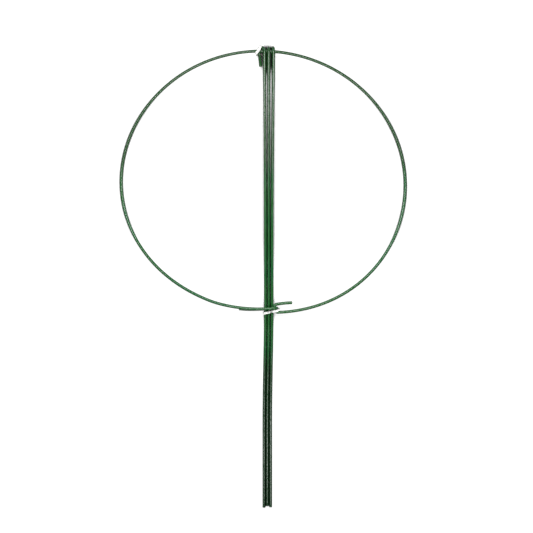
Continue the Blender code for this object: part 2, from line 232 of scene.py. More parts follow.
def ring_radius(angle):
    return (
        HOOP_MEAN_RADIUS
        + HOOP_OVALITY * math.cos(2 * (angle - HOOP_OVALITY_ANGLE))
        + HOOP_EGG * math.cos(3 * (angle - HOOP_EGG_ANGLE))
        + HOOP_SQUARENESS * math.cos(4 * (angle - HOOP_SQUARENESS_ANGLE))
    )


def ring_angle_at(across, above):
    """The angle at which the ring is this far right of its middle, on its upper or its lower side."""
    side = 1 if above else -1
    angle = side * math.pi / 2
    for _ in range(20):
        angle = side * math.acos(across / ring_radius(angle))
    return angle


def ring_side_limits():
    """The ring's least and greatest x about its middle."""
    reach = [ring_radius(a) * math.cos(a) for a in steps_between(0, 2 * math.pi, math.radians(0.5))]
    return min(reach), max(reach)


def ring_centre():
    """The middle of the ring, so that its width is centred and its top passes through the hooks."""
    least, most = ring_side_limits()
    top_angle = ring_angle_at(BUNDLE_OFFSET, above=True)
    top_y = ring_radius(top_angle) * math.sin(top_angle)
    return Vector((-(least + most) / 2, HOOP_TOP_Y - top_y, 0))


RING_CENTRE = ring_centre()
BUNDLE_X = RING_CENTRE.x + BUNDLE_OFFSET


def eye_centre():
    """The middle of the right end's round bend, in plan."""
    angle = ring_angle_at(CLOSURE_OFFSET, above=False)
    low = ring_radius(angle) * math.sin(angle)
    return RING_CENTRE + Vector((CLOSURE_OFFSET, low + EYE_RADIUS, 0))


EYE_CENTRE = eye_centre()


def leg_height(y):
    """A leg's centre line comes down evenly from its hook to its tip, which lies on the surface."""
    tip = HEAD_Y - max(LEG_LENGTHS.values())
    share = (CROWN_Y - y) / (CROWN_Y - tip)
    return SHANK_HEIGHT + (WIRE_RADIUS - SHANK_HEIGHT) * share


FOLD_LOW_HEIGHT = leg_height(EYE_CENTRE.y) + WIRE_PITCH
EYE_HEIGHT = FOLD_LOW_HEIGHT + WIRE_PITCH
FOLD_HIGH_HEIGHT = EYE_HEIGHT + WIRE_PITCH
FOLD_X = EYE_CENTRE.x - EYE_RADIUS


def ring_height(angle, closure_height):
    """The ring touches the surface at both sides and bows up to the hooks and to the closure."""
    lift = HOOP_TOP_HEIGHT if math.sin(angle) > 0 else closure_height
    return WIRE_RADIUS + (lift - WIRE_RADIUS) * math.sin(angle) ** 2


def to_fold():
    """From the middle of the ring to the left end's fold, in plan."""
    return Vector((FOLD_X, EYE_CENTRE.y)) - RING_CENTRE.xy


def fold_angle():
    return math.atan2(to_fold().y, to_fold().x)


def left_end_point(angle, height):
    """A point of the left end, which is drawn in from the ring so that it meets the eye."""
    inset = ring_radius(fold_angle()) - to_fold().length
    share = max(0.0, 1 - (fold_angle() - angle) / LEFT_END_ANGLE)
    radius = ring_radius(angle) - inset * share**LEFT_END_EASE
    return RING_CENTRE + Vector((radius * math.cos(angle), radius * math.sin(angle), height))


def fold_tail():
    """The left end's last run, from its cut end back to the fold, below the wire that it doubles."""
    points = []
    for share in steps_between(1.0, 0.0, TAIL_STEP / FOLD_TAIL_LENGTH):
        angle = fold_angle() - share * FOLD_TAIL_LENGTH / HOOP_MEAN_RADIUS
        point = left_end_point(angle, FOLD_LOW_HEIGHT)
        point.y -= FOLD_TAIL_DROP * ease(share)
        points.append(point)
    return points


def fold_bend():
    """The left end's narrow bend, which stands upright and goes round the eye's wire."""
    points = []
    for turn in steps_between(-math.pi / 2, math.pi / 2, BEND_STEP)[1:]:
        across = WIRE_PITCH * math.cos(turn)
        up = WIRE_PITCH * math.sin(turn)
        points.append(Vector((FOLD_X + across, EYE_CENTRE.y, EYE_HEIGHT + up)))
    return points


def ring_run():
    """The hoop from the fold, round the left, the top and the right, to the eye."""
    last = ring_angle_at(CLOSURE_OFFSET, above=False)
    points = []
    for angle in steps_between(fold_angle(), last - 2 * math.pi, HOOP_STEP)[1:]:
        if angle > -math.pi * 1.5:
            points.append(left_end_point(angle, ring_height(angle, FOLD_HIGH_HEIGHT)))
        else:
            points.append(left_end_point(angle, ring_height(angle, EYE_HEIGHT)))
    return points


def eye_bend():
    """The right end's round bend, which lies flat."""
    points = []
    for turn in steps_between(-math.pi / 2, -math.pi * 1.5, BEND_STEP)[1:]:
        across = EYE_RADIUS * math.cos(turn)
        along = EYE_RADIUS * math.sin(turn)
        points.append(EYE_CENTRE + Vector((across, along, EYE_HEIGHT)))
    return points


def eye_tail():
    """The right end's last run, which opens a little away from the ring."""
    points = []
    for share in steps_between(0.0, 1.0, TAIL_STEP / EYE_TAIL_LENGTH)[1:]:
        across = EYE_TAIL_LENGTH * share
        along = EYE_RADIUS + EYE_TAIL_SPREAD * math.sin(share * math.pi / 2)
        points.append(EYE_CENTRE + Vector((across, along, EYE_HEIGHT + EYE_TAIL_LIFT * share)))
    return points


def hoop_route():
    return fold_tail() + fold_bend() + ring_run() + eye_bend() + eye_tail()


# Legs


def hook_side_shift(name):
    """How far to the left of its shank a hook's limb lies."""
    return HOOK_SPAN * math.sin(HOOK_TURNS[name])


def leg_x(name, y):
    """A leg's place across the bundle: spread by the hooks at the head, side by side further down."""
    side = LEG_SIDES[name]
    neighbour = "middle_leg" if side < 0 else name
    spread = hook_side_shift(neighbour)
    hook_end = CROWN_Y - HOOK_LIMB_LENGTH
    fan = 1 - min(max((hook_end - y) / FAN_LENGTH, 0.0), 1.0)
    sway = BUNDLE_SWAY * ease((EYE_CENTRE.y - y) / SWAY_LENGTH)
    return BUNDLE_X - sway + side * (WIRE_PITCH + spread * fan**FAN_EASE)


def hook_direction(name, down=0.0):
    """From a leg's shank towards its hook's limb, this far below the crown.

    A limb may turn back under its shank.
    """
    turn = HOOK_TURNS[name] * (1 - HOOK_RETURNS[name] * ease(down / RETURN_LENGTH))
    return Vector((-math.sin(turn), 0, -math.cos(turn)))


def hook_limb(name):
    """The hook's free limb, from its cut end up to the crown. It closes in a little towards its end."""
    shank = Vector((leg_x(name, CROWN_Y), CROWN_Y, SHANK_HEIGHT))
    points = []
    for share in steps_between(1.0, 0.0, TAIL_STEP / HOOK_LIMB_LENGTH):
        span = HOOK_SPAN + (MOUTH_SPAN - HOOK_SPAN) * ease(share)
        down = HOOK_LIMB_LENGTH * share
        points.append(shank + span * hook_direction(name, down) - Vector((0, down, 0)))
    return points


def hook_crown(name):
    """Over the hoop's wire in two round corners with a short flat between them."""
    shank = Vector((leg_x(name, CROWN_Y), CROWN_Y, SHANK_HEIGHT))
    middle = shank + HOOK_SPAN / 2 * hook_direction(name)
    points = []
    for way, turns in ((1, (0.0, math.pi / 2)), (-1, (math.pi / 2, math.pi))):
        for turn in steps_between(*turns, BEND_STEP):
            across = way * CROWN_FLAT / 2 + HOOK_CORNER * math.cos(turn)
            along = Vector((0, HOOK_CORNER * math.sin(turn), 0))
            points.append(middle + across * hook_direction(name) + along)
    return points[1:]


def leg_shank(name):
    """The long straight run down to the cut tip."""
    tip = HEAD_Y - LEG_LENGTHS[name]
    return [Vector((leg_x(name, y), y, leg_height(y))) for y in steps_between(CROWN_Y, tip, LEG_STEP)[1:]]


def leg_route(name):
    return hook_limb(name) + hook_crown(name) + leg_shank(name)


# Wires


def directions(route):
    """The unit direction at each point of a route."""
    found = []
    for i in range(len(route)):
        found.append((route[min(i + 1, len(route) - 1)] - route[max(i - 1, 0)]).normalized())
    return found


def carried_normals(headings):
    """A normal at each point that doesn't turn about the route."""
    start = headings[0].cross(Vector((0, 0, 1)))
    if start.length < 0.1:
        start = headings[0].cross(Vector((0, 1, 0)))
    normals = [start.normalized()]
    for before, after in zip(headings, headings[1:]):
        turned = before.rotation_difference(after) @ normals[-1]
        normals.append((turned - after * turned.dot(after)).normalized())
    return normals


def lengths_along(route):
    total = 0.0
    found = [total]
    for before, after in zip(route, route[1:]):
        total += (after - before).length
        found.append(total)
    return found


def bend_vectors(route, headings):
    """At each point, a vector towards the middle of the bend, as long as one over its radius."""
    found = []
    for i in range(len(route)):
        low, high = max(i - 1, 0), min(i + 1, len(route) - 1)
        run = (route[high] - route[low]).length
        found.append((headings[high] - headings[low]) / run)
    return found


def lumps(along, turn, seed):
    """Small unevenness of an extruded coat, from about -1 to 1."""
    slow = 0.45 * math.sin(along / (7.1 * MM) + seed)
    quick = 0.3 * math.sin(along / (2.9 * MM) + 2.3 * seed)
    turning = 0.25 * math.sin(2 * turn + along / (11.0 * MM) + 3.1 * seed)
    return slow + quick + turning


def grooves_at(name, point):
    """Which ways another leg lies beside this point of a leg's shank, and how close, from 0 to 1."""
    on_limb = point.y > CROWN_Y - HOOK_LIMB_LENGTH and point.z < HOOP_TOP_HEIGHT
    if name not in LEG_SIDES or point.y > CROWN_Y or on_limb:
        return []
    grooves = []
    for other, side in LEG_SIDES.items():
        way = side - LEG_SIDES[name]
        if abs(way) == 1:
            gap = abs(leg_x(other, point.y) - leg_x(name, point.y)) - COAT_DIAMETER
            grooves.append((way, 1 - ease(gap / GROOVE_WIDTH)))
    return grooves


def groove_dirt(grooves, outward):
    """How much painted shade a point of the coat has that faces outward this way beside these grooves, from
    0 to 1.
    """
    found = [0.0]
    for way, near in grooves:
        found.append(near * ease((outward.x * way - GROOVE_FACING) / GROOVE_EDGE))
    return max(found)


class Tube:
    """The rings of a wire, from which its surfaces are made."""

    def __init__(self, name, route, seed):
        self.name = name
        self.route = route
        self.headings = directions(route)
        self.normals = carried_normals(self.headings)
        self.along = lengths_along(route)
        self.bends = bend_vectors(route, self.headings)
        self.seed = seed
        self.places = []
        self.marks = []
        self.wear = []
        self.dirt = []

    def bend_share(self, i):
        """How tight the bend is here, up to 1 in the hooks and the closure."""
        return min(1.0, self.bends[i].length * HOOK_CORNER)

    def ring(self, i, radius, shift=0.0, uneven=False):
        """Adds one ring of points about the route, this far past its point."""
        heading = self.headings[i]
        side = self.normals[i]
        up = heading.cross(side)
        end_share = min(self.along[i], self.along[-1] - self.along[i])
        grooves = grooves_at(self.name, self.route[i])
        for k in range(WIRE_SIDES):
            turn = 2 * math.pi * k / WIRE_SIDES
            outward = side * math.cos(turn) + up * math.sin(turn)
            reach = radius
            if uneven:
                reach += self.unevenness(i, turn, outward)
            self.places.append(self.route[i] + outward * reach + heading * shift)
            self.marks.append((math.cos(turn), math.sin(turn), self.along[i] / MARK_LENGTH + self.seed))
            self.wear.append(max(self.bend_share(i) * BEND_WEAR, 1 - end_share / END_WEAR_LENGTH))
            # Painted shade on the flanks that face a neighbouring leg
            self.dirt.append(groove_dirt(grooves, outward))

    def unevenness(self, i, turn, outward):
        """Lumps all along and wrinkles on the inner side of tight bends."""
        height = LUMP_HEIGHT * lumps(self.along[i], turn, self.seed)
        share = self.bend_share(i)
        if share > WRINKLE_BEND:
            inner = max(0.0, outward.dot(self.bends[i].normalized())) ** 2
            wave = 0.5 - 0.5 * math.cos(2 * math.pi * self.along[i] / WRINKLE_PITCH)
            height -= WRINKLE_DEPTH * inner * wave * share
        return height

    def mesh(self, name, closed):
        """Joins the rings to a mesh. A closed one leads from its last ring back to its first."""
        count = len(self.places) // WIRE_SIDES
        faces = []
        for row in range(count if closed else count - 1):
            this, following = row * WIRE_SIDES, (row + 1) % count * WIRE_SIDES
            for k in range(WIRE_SIDES):
                beside = (k + 1) % WIRE_SIDES
                faces.append((this + k, this + beside, following + beside, following + k))
        if not closed:
            faces.append(tuple(reversed(range(WIRE_SIDES))))
            faces.append(tuple(range((count - 1) * WIRE_SIDES, count * WIRE_SIDES)))
        return make_mesh(name, self.places, faces, self.marks, wear=self.wear, dirt=self.dirt)


def make_mesh(name, places, faces, marks, **shares):
    """A mesh that keeps its place on the wire and other shares at each point, for the materials."""
    mesh = bpy.data.meshes.new(name)
    mesh.from_pydata([tuple(p) for p in places], [], faces)
    place = mesh.attributes.new("wire_place", "FLOAT_VECTOR", "POINT")
    place.data.foreach_set("vector", [value for mark in marks for value in mark])
    for key, values in shares.items():
        kept = mesh.attributes.new(key, "FLOAT", "POINT")
        kept.data.foreach_set("value", [float(value) for value in values])
    mesh.shade_smooth()
    mesh.set_sharp_from_angle(angle=SHARP_ANGLE)
    mesh.validate()
    return mesh


def add_piece(name, mesh, material, body, node):
    """Puts a piece in the scene, where it rides on a body and stands for a node of the part."""
    mesh.materials.append(material)
    piece = bpy.data.objects.new(name, mesh)
    bpy.context.scene.collection.objects.link(piece)
    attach(piece, body)
    if node:
        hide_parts(node)
    return piece


def make_coat(name, route, seed, material, body, node):
    """The vinyl coat: a bored tube with rounded rims, drawn back a little from the steel's cut ends."""
    tube = Tube(body, route, seed)
    outer = WIRE_RADIUS - COAT_SLACK
    inner = CORE_DIAMETER / 2 + CORE_CLEARANCE
    last = len(route) - 1
    back = COAT_SHRINK
    start_rim = [(inner, back + COAT_BEVEL), (inner + COAT_BEVEL / 2, back), (outer - COAT_BEVEL, back)]
    start_rim.append((outer - COAT_BEVEL * 0.3, back + COAT_BEVEL * 0.3))
    start_rim.append((outer, back + COAT_BEVEL))
    for radius, shift in start_rim:
        tube.ring(0, radius, shift)
    for i in range(1, last):
        tube.ring(i, outer, uneven=True)
    for radius, shift in reversed(start_rim):
        tube.ring(last, radius, -shift)
    for i in range(last - 1, 0, -1):
        tube.ring(i, inner)
    add_piece(name, tube.mesh(name, closed=True), material, body, node)


def make_core(name, route, seed, material, body, node):
    """The steel core, sheared to a blunt wedge at both ends."""
    tube = Tube(body, route, seed)
    radius = CORE_DIAMETER / 2
    last = len(route) - 1
    tips = [(0.2, 0.0), (0.6, 0.0), (0.93, 0.02 * MM), (1.0, 0.12 * MM)]
    for share, shift in tips:
        tube.ring(0, radius * share, shift)
    for i in range(1, last):
        tube.ring(i, radius)
    for share, shift in reversed(tips):
        tube.ring(last, radius * share, -shift)
    shear(tube, 0, len(tips), 1)
    shear(tube, len(tube.places) // WIRE_SIDES - len(tips), len(tips), -1)
    add_piece(name, tube.mesh(name, closed=False), material, body, node)


def shear(tube, first_row, rows, way):
    """Draws the rings of a cut end back to both sides of a ridge."""
    index = 0 if way > 0 else len(tube.route) - 1
    for row in range(first_row, first_row + rows):
        for k in range(WIRE_SIDES):
            n = row * WIRE_SIDES + k
            offset = tube.places[n] - tube.route[index]
            across = abs(offset.dot(tube.normals[index])) / (CORE_DIAMETER / 2)
            tube.places[n] = tube.places[n] + tube.headings[index] * (way * SHEAR_DEPTH * across)


def make_wire(name, route, seed, body, materials):
    make_core(name + "_steel", route, seed, materials["steel"], body, name + "_core")
    make_coat(name + "_vinyl", route, seed, materials["vinyl"], body, name + "_coat")


# Twist ties


def smooth_between(before, first, second, after, share):
    """A point on the smooth curve through four neighbours, between the middle two."""
    a = 2 * first
    b = second - before
    c = 2 * before - 5 * first + 4 * second - after
    d = after - before + 3 * (first - second)
    return (a + b * share + c * share**2 + d * share**3) / 2


def smooth_through(values, steps):
    """A smooth line of points through all the values."""
    ends = [2 * values[0] - values[1], *values, 2 * values[-1] - values[-2]]
    points = []
    for i in range(len(values) - 1):
        points += [smooth_between(*ends[i : i + 4], step / steps) for step in range(steps)]
    return [*points, values[-1]]


def same_way(widths):
    """Turns each direction round where it points against the one before it."""
    turned = [widths[0]]
    for width in widths[1:]:
        turned.append(width if width.dot(turned[-1]) >= 0 else -width)
    return turned


def twisted_ply(start, direction, first_width, side):
    """Stations of one of the two strips twisted round each other, from the start of the twist."""
    stations = []
    share = TWIST_WIDTH / TIE_WIDTH
    turns = TWIST_LENGTH / TWIST_PITCH * 2 * math.pi
    for turn in steps_between(0.0, turns, TWIST_STEP):
        across = first_width * math.cos(turn) + direction.cross(first_width) * math.sin(turn)
        normal = across.cross(direction)
        place = start + direction * (turn / (2 * math.pi) * TWIST_PITCH) + normal * (side * PLY_OFFSET)
        stations.append((place, across * share))
    return stations


def tie_stations(loop, start, direction, first_width):
    """The stations of a whole tie: up one twisted ply, round the loop and down the other ply."""
    first_ply = twisted_ply(start, direction, first_width, 1)
    last_ply = twisted_ply(start, direction, first_width, -1)
    loop = [first_ply[0], *loop, last_ply[0]]
    places = smooth_through([place for place, _ in loop], TIE_STEPS)
    widths = smooth_through(same_way([width for _, width in loop]), TIE_STEPS)
    stations = first_ply[:0:-1] + list(zip(places, widths)) + last_ply[1:]
    return [place for place, _ in stations], same_way([width for _, width in stations])


def tie_outline(half_width):
    """The section of a tie: two thin wings and a round bead over the wire in the middle."""
    bead = TIE_BEAD / 2
    stops = [0.0, 0.3, 0.6, 0.85, 1.05]
    middle = [bead * stop for stop in stops]
    wing = [middle[-1] + (half_width - middle[-1]) * share for share in (0.15, 0.5, 0.85, 0.97, 1.0)]
    upper = []
    for across in middle + wing:
        round_part = math.sqrt(max(0.0, bead**2 - across**2))
        thin_part = TIE_FOIL / 2 * (1 - (across / half_width) ** 12)
        upper.append((across, math.hypot(round_part, thin_part)))
    right = upper[:-1] + [(half_width, 0.0)]
    top = [(-x, z) for x, z in reversed(right[1:])] + right
    bottom = [(x, -z) for x, z in reversed(top[1:-1])]
    return top + bottom


def tie_painted_shade(place):
    """How much painted shade a tie has, from 0 to 1, on its low part to the right of the left hook's limb.
    """
    limb_edge = leg_x("left_leg", CROWN_Y) - hook_side_shift("left_leg") + WIRE_RADIUS
    low = ease((TIE_SHADE_HEIGHT - place.z) / TIE_SHADE_EDGE)
    return low * ease((place.x - limb_edge) / TIE_SHADE_EDGE)


def make_tie_strip(name, places, widths, seed, material, body, node):
    along = lengths_along(places)
    headings = directions(places)
    points, marks, wear, tie_shade = [], [], [], []
    for i, (place, width) in enumerate(zip(places, widths)):
        across = width - headings[i] * width.dot(headings[i])
        half_width = width.length * TIE_WIDTH / 2
        across.normalize()
        normal = headings[i].cross(across)
        for x, z in tie_outline(half_width):
            share = x / half_width
            wave = math.sin(2 * math.pi * along[i] / TIE_CRINKLE_PITCH + seed + share)
            lift = TIE_CRINKLE * wave * share * share
            points.append(place + across * x + normal * (z + lift))
            marks.append((share, z / TIE_BEAD, along[i] / MARK_LENGTH + seed))
            wear.append(abs(share))
            # Painted shade on the tie's low parts
            tie_shade.append(tie_painted_shade(place))
    around = len(tie_outline(TIE_WIDTH / 2))
    faces = []
    for row in range(len(places) - 1):
        this, following = row * around, (row + 1) * around
        for k in range(around):
            beside = (k + 1) % around
            faces.append((this + k, this + beside, following + beside, following + k))
    faces.append(tuple(reversed(range(around))))
    faces.append(tuple(range((len(places) - 1) * around, len(places) * around)))
    mesh = make_mesh(name, points, faces, marks, wear=wear, dirt=tie_shade)
    add_piece(name, mesh, material, body, node)


def make_tie_wire(name, places, seed, material, body):
    """The thin wire inside a tie, which shows at both of its cut ends."""
    headings = directions(places)
    route = [places[0] - headings[0] * TIE_WIRE_OUT, *places, places[-1] + headings[-1] * TIE_WIRE_OUT]
    tube = Tube(name, route, seed)
    for i in range(len(route)):
        tube.ring(i, TIE_WIRE / 2)
    add_piece(name, tube.mesh(name, closed=False), material, body, None)


def off(anchor, across, along, up):
    """A point this many millimetres from an anchor: to the right, towards the hooks and upwards."""
    return anchor + Vector((across, along, up)) * MM


def closure_tie_line():
    """The tie round the three legs and the eye.

    It comes up on the left, crosses in front and goes down in the eye.
    """
    height = leg_height(EYE_CENTRE.y)
    lift = WIRE_RADIUS + TIE_STANDOFF
    middle = Vector((BUNDLE_X, EYE_CENTRE.y, height))
    left = middle - Vector((WIRE_PITCH + lift, 0, 0))
    front = middle + Vector((0, 0, lift))
    back = middle - Vector((0, 0, lift))
    eye_front = EYE_CENTRE + Vector((0, 0, EYE_HEIGHT + lift))
    eye_inside = EYE_CENTRE + Vector((0, 0, EYE_HEIGHT))
    fold_back = EYE_CENTRE + Vector((0, 0, FOLD_LOW_HEIGHT - lift))
    twist = middle - Vector((0, 0, (height + WIRE_RADIUS) / 2))
    along = Vector((0, 1, 0))
    slanted = Vector((-0.25, 0.85, 0))
    leaning = Vector((-0.2, 0.75, 0.4))
    narrow = Vector((0, 0.62, 0))
    upright = Vector((0, 0, 1))
    stations = [
        (off(twist, 1.4, -7.4, 0), upright),
        (off(back, 4.2, -5.0, -0.5), Vector((0, 0.9, 0.3))),
        (off(back, 9.4, -3.2, 1.0), narrow),
        (off(fold_back, 1.2, -1.4, 0), narrow),
        (off(eye_inside, 2.3, -1.0, 0), narrow),
        (off(eye_front, 0.6, -2.9, 0.2), Vector((-0.2, 0.62, 0))),
        (off(eye_front, -4.7, -4.4, 0.5), slanted),
        (off(eye_front, -7.9, -4.7, -1.6), leaning),
        (off(front, 3.0, -4.9, 2.2), leaning),
        (off(front, -0.9, -5.8, 0), slanted),
        (off(left, 1.7, -7.0, lift / MM), slanted),
        (off(left, 0, -7.8, 0), along),
        (off(left, 1.3, -8.3, -lift / MM), along),
        (off(back, -3.6, -8.8, -1.1), Vector((0, 0.7, 0.7))),
        (off(twist, -1.3, -9.8, 0), upright),
    ]
    return tie_stations(stations, off(twist, 0, -11.8, 0), Vector((0, -1, 0)), upright)


def head_tie_line():
    """The tie round the hoop's top and the left leg's hook. Its twist lies behind the left leg."""
    pivot_y = frame["joints"][0]["pos_m"][1]
    shank = Vector((leg_x("left_leg", CROWN_Y), pivot_y, 0))
    limb = shank + HOOK_SPAN * hook_direction("left_leg") + Vector((0, 0, SHANK_HEIGHT))
    lift = WIRE_RADIUS + TIE_STANDOFF
    front = Vector((limb.x, limb.y, HOOP_TOP_HEIGHT + lift))
    back = limb - Vector((0, 0, lift))
    crown = Vector((limb.x, HEAD_Y + TIE_STANDOFF, HOOP_TOP_HEIGHT))
    twist = shank + Vector((0, 0, limb.z - 0.4 * MM))
    across = Vector((0.85, -0.52, 0))
    turned = Vector((0.3, -0.95, 0))
    sideways = Vector((1, 0, 0))
    lengthways = Vector((-0.2, -0.9, 0))
    upright = Vector((0, 0, 1))
    stations = [
        (off(twist, 0.2, -3.4, -1.2), Vector((0.8, 0, 0.4))),
        (off(twist, -2.6, 3.0, -1.6), sideways),
        (off(crown, 4.0, -1.6, -4.8), sideways),
        (off(crown, 3.1, 0, -0.6), sideways),
        (off(crown, 2.7, -0.7, 3.4), Vector((1, -0.3, 0))),
        (off(front, 1.7, 3.6, 2.2), across),
        (off(front, -1.0, -0.4, 0.9), across),
        (off(front, -3.6, -3.9, -1.0), turned),
        (off(limb, -3.1, -4.9, 0), turned),
        (off(back, 0, -4.4, 0), lengthways),
        (off(back, 4.2, -4.6, 0.5), Vector((-0.2, -0.7, -0.3))),
        (off(twist, -1.3, -6.2, -0.4), Vector((-0.3, -0.2, -0.7))),
    ]
    return tie_stations(stations, off(twist, 0, -10.4, 0), Vector((0, -1, 0)), upright)


def make_tie(name, line, seed, body, materials):
    places, widths = line
    make_tie_wire(name + "_wire", places, seed, materials["tie wire"], body)
    make_tie_strip(name + "_strip", places, widths, seed, materials["tie"], body, name)


# Materials


class Shader:
    """The nodes of a material or of the world, in the making."""

    def __init__(self, owner):
        owner.use_nodes = True
        self.owner = owner
        self.tree = owner.node_tree
        self.surface = self.tree.nodes.get("Principled BSDF")

    def add(self, kind, **settings):
        node = self.tree.nodes.new(kind)
        for key, value in settings.items():
            setattr(node, key, value)
        return node

    def link(self, output, socket):
        self.tree.links.new(output, socket)

    def place(self):
        return self.add("ShaderNodeTexCoord").outputs["Object"]

    def part_of(self, vector, axis):
        split = self.add("ShaderNodeSeparateXYZ")
        self.link(vector, split.inputs[0])
        return split.outputs[axis]

    def kept(self, name):
        """What the mesh keeps at each point under this name."""
        return self.add("ShaderNodeAttribute", attribute_name=name)

    def noise(self, coordinates, scale, detail=2.0, roughness=0.5):
        node = self.add("ShaderNodeTexNoise")
        node.inputs["Scale"].default_value = scale
        node.inputs["Detail"].default_value = detail
        node.inputs["Roughness"].default_value = roughness
        self.link(coordinates, node.inputs["Vector"])
        return node.outputs["Fac"]

    def spread(self, value, low, high, to_low, to_high):
        """Maps a value from one range to another, smoothly."""
        node = self.add("ShaderNodeMapRange", interpolation_type="SMOOTHSTEP")
        limits = {"From Min": low, "From Max": high, "To Min": to_low, "To Max": to_high}
        for socket, number in limits.items():
            node.inputs[socket].default_value = number
        self.link(value, node.inputs["Value"])
        return node.outputs["Result"]

    def times(self, first, second):
        node = self.add("ShaderNodeMath", operation="MULTIPLY")
        self.link(first, node.inputs[0])
        self.link(second, node.inputs[1])
        return node.outputs[0]

    def plus(self, first, second):
        node = self.add("ShaderNodeMath", operation="ADD")
        self.link(first, node.inputs[0])
        self.link(second, node.inputs[1])
        return node.outputs[0]

    def blend(self, share, first, second):
        """A colour between two, each of them a colour or a socket."""
        node = self.add("ShaderNodeMix", data_type="RGBA")
        self.link(share, node.inputs["Factor"])
        for socket, colour in ((node.inputs[6], first), (node.inputs[7], second)):
            if isinstance(colour, tuple):
                socket.default_value = (*colour, 1.0)
            else:
                self.link(colour, socket)
        return node.outputs[2]

    def bump(self, height, depth, strength, below=None):
        node = self.add("ShaderNodeBump")
        node.inputs["Strength"].default_value = strength
        node.inputs["Distance"].default_value = depth
        self.link(height, node.inputs["Height"])
        if below is not None:
            self.link(below, node.inputs["Normal"])
        return node.outputs["Normal"]

    def finish(self, colour, roughness, normal, **numbers):
        self.link(colour, self.surface.inputs["Base Color"])
        self.link(roughness, self.surface.inputs["Roughness"])
        self.link(normal, self.surface.inputs["Normal"])
        for key, value in numbers.items():
            self.surface.inputs[key.replace("_", " ")].default_value = value
        return self.owner


def vinyl_material():
    """Glossy green vinyl with streaks and a fine grain.

    It has painted shade towards the legs' heads and tips and in the grooves between them, and it is scuffed
    at bends and cut ends.
    """
    shader = Shader(bpy.data.materials.new("green vinyl"))
    place = shader.place()
    wire = shader.kept("wire_place").outputs["Vector"]
    wear = shader.kept("wear").outputs["Fac"]
    along = shader.part_of(place, "Y")
    patches = shader.noise(place, 14.0, 2.0)
    streaks = shader.noise(wire, 1.7, 3.0, 0.6)
    grain = shader.noise(place, 2600.0, 2.0)
    scuffs = shader.noise(place, 520.0, 4.0, 0.65)
    green = shader.blend(shader.spread(patches, 0.35, 0.65, 0.0, 1.0), COOL_GREEN, WARM_GREEN)
    green = shader.blend(shader.spread(streaks, 0.3, 0.75, 0.0, 0.5), green, STREAK_GREEN)
    # Painted shade towards the legs' heads and tips
    green = shader.blend(shader.spread(along, *HEAD_SHADE_ZONE, 0.0, 0.8), green, HEAD_SHADE_GREEN)
    green = shader.blend(shader.spread(along, *TIP_SHADE_ZONE, 0.85, 0.0), green, TIP_SHADE_GREEN)
    worn = shader.times(wear, shader.spread(scuffs, 0.45, 0.7, 0.0, 0.8))
    green = shader.blend(worn, green, SCUFF_GREEN)
    # Painted shade in the grooves between legs
    dirt = shader.times(shader.kept("dirt").outputs["Fac"], shader.spread(streaks, 0.25, 0.6, 0.7, 0.95))
    green = shader.blend(dirt, green, GROOVE_SHADE)
    smooth = shader.spread(streaks, 0.3, 0.7, 0.16, 0.25)
    rough = shader.plus(smooth, shader.spread(worn, 0.0, 1.0, 0.0, 0.3))
    ripple = shader.bump(streaks, 0.03 * MM, 0.5)
    normal = shader.bump(grain, 0.006 * MM, 0.5, ripple)
    return shader.finish(green, rough, normal, Specular_IOR_Level=0.35)


def steel_material():
    """Drawn steel with fine lines along it, a little tarnished."""
    shader = Shader(bpy.data.materials.new("drawn steel"))
    place = shader.place()
    wire = shader.kept("wire_place").outputs["Vector"]
    lines = shader.noise(wire, 9.0, 3.0, 0.6)
    stain = shader.noise(place, 900.0, 3.0)
    tint = shader.blend(shader.spread(stain, 0.4, 0.7, 0.0, 1.0), STEEL, STEEL_TARNISH)
    rough = shader.spread(lines, 0.3, 0.7, 0.28, 0.5)
    normal = shader.bump(lines, 0.02 * MM, 0.6)
    return shader.finish(tint, rough, normal, Metallic=1.0)


def tie_wire_material():
    shader = Shader(bpy.data.materials.new("tie wire steel"))
    place = shader.place()
    stain = shader.noise(place, 2000.0, 3.0)
    tint = shader.blend(stain, TIE_STEEL, TIE_STEEL_TARNISH)
    rough = shader.spread(stain, 0.3, 0.7, 0.25, 0.45)
    normal = shader.bump(stain, 0.01 * MM, 0.5)
    return shader.finish(tint, rough, normal, Metallic=1.0)


def tie_material():
    """White plastic foil, a little creased, greyer at its edges and darkened by painted shade on its low
    parts.
    """
    shader = Shader(bpy.data.materials.new("white tie plastic"))
    place = shader.place()
    wire = shader.kept("wire_place").outputs["Vector"]
    edge = shader.kept("wear").outputs["Fac"]
    creases = shader.noise(wire, 6.0, 4.0, 0.6)
    mottle = shader.noise(place, 700.0, 3.0)
    white = shader.blend(shader.spread(mottle, 0.35, 0.7, 0.0, 1.0), TIE_WHITE, TIE_OFF_WHITE)
    # Greyer towards the strip's edges
    grey_edges = shader.times(shader.spread(edge, 0.8, 1.0, 0.0, 0.6), mottle)
    white = shader.blend(grey_edges, white, EDGE_GREY_WHITE)
    # Painted shade on the tie's low parts
    tie_shade = shader.times(shader.kept("dirt").outputs["Fac"], shader.spread(mottle, 0.3, 0.6, 0.8, 1.0))
    white = shader.blend(tie_shade, white, TIE_SHADE_COLOUR)
    rough = shader.spread(creases, 0.3, 0.7, 0.38, 0.55)
    normal = shader.bump(creases, 0.12 * MM, 0.6)
    return shader.finish(white, rough, normal)


# Floor, light and camera


def seen_directly(shader):
    """1 for what the camera sees, directly, in a reflection or through something."""
    path = shader.add("ShaderNodeLightPath")
    seen = shader.plus(path.outputs["Is Camera Ray"], path.outputs["Is Glossy Ray"])
    seen = shader.plus(seen, path.outputs["Is Transmission Ray"])
    return shader.spread(seen, 0.0, 1.0, 0.0, 1.0)


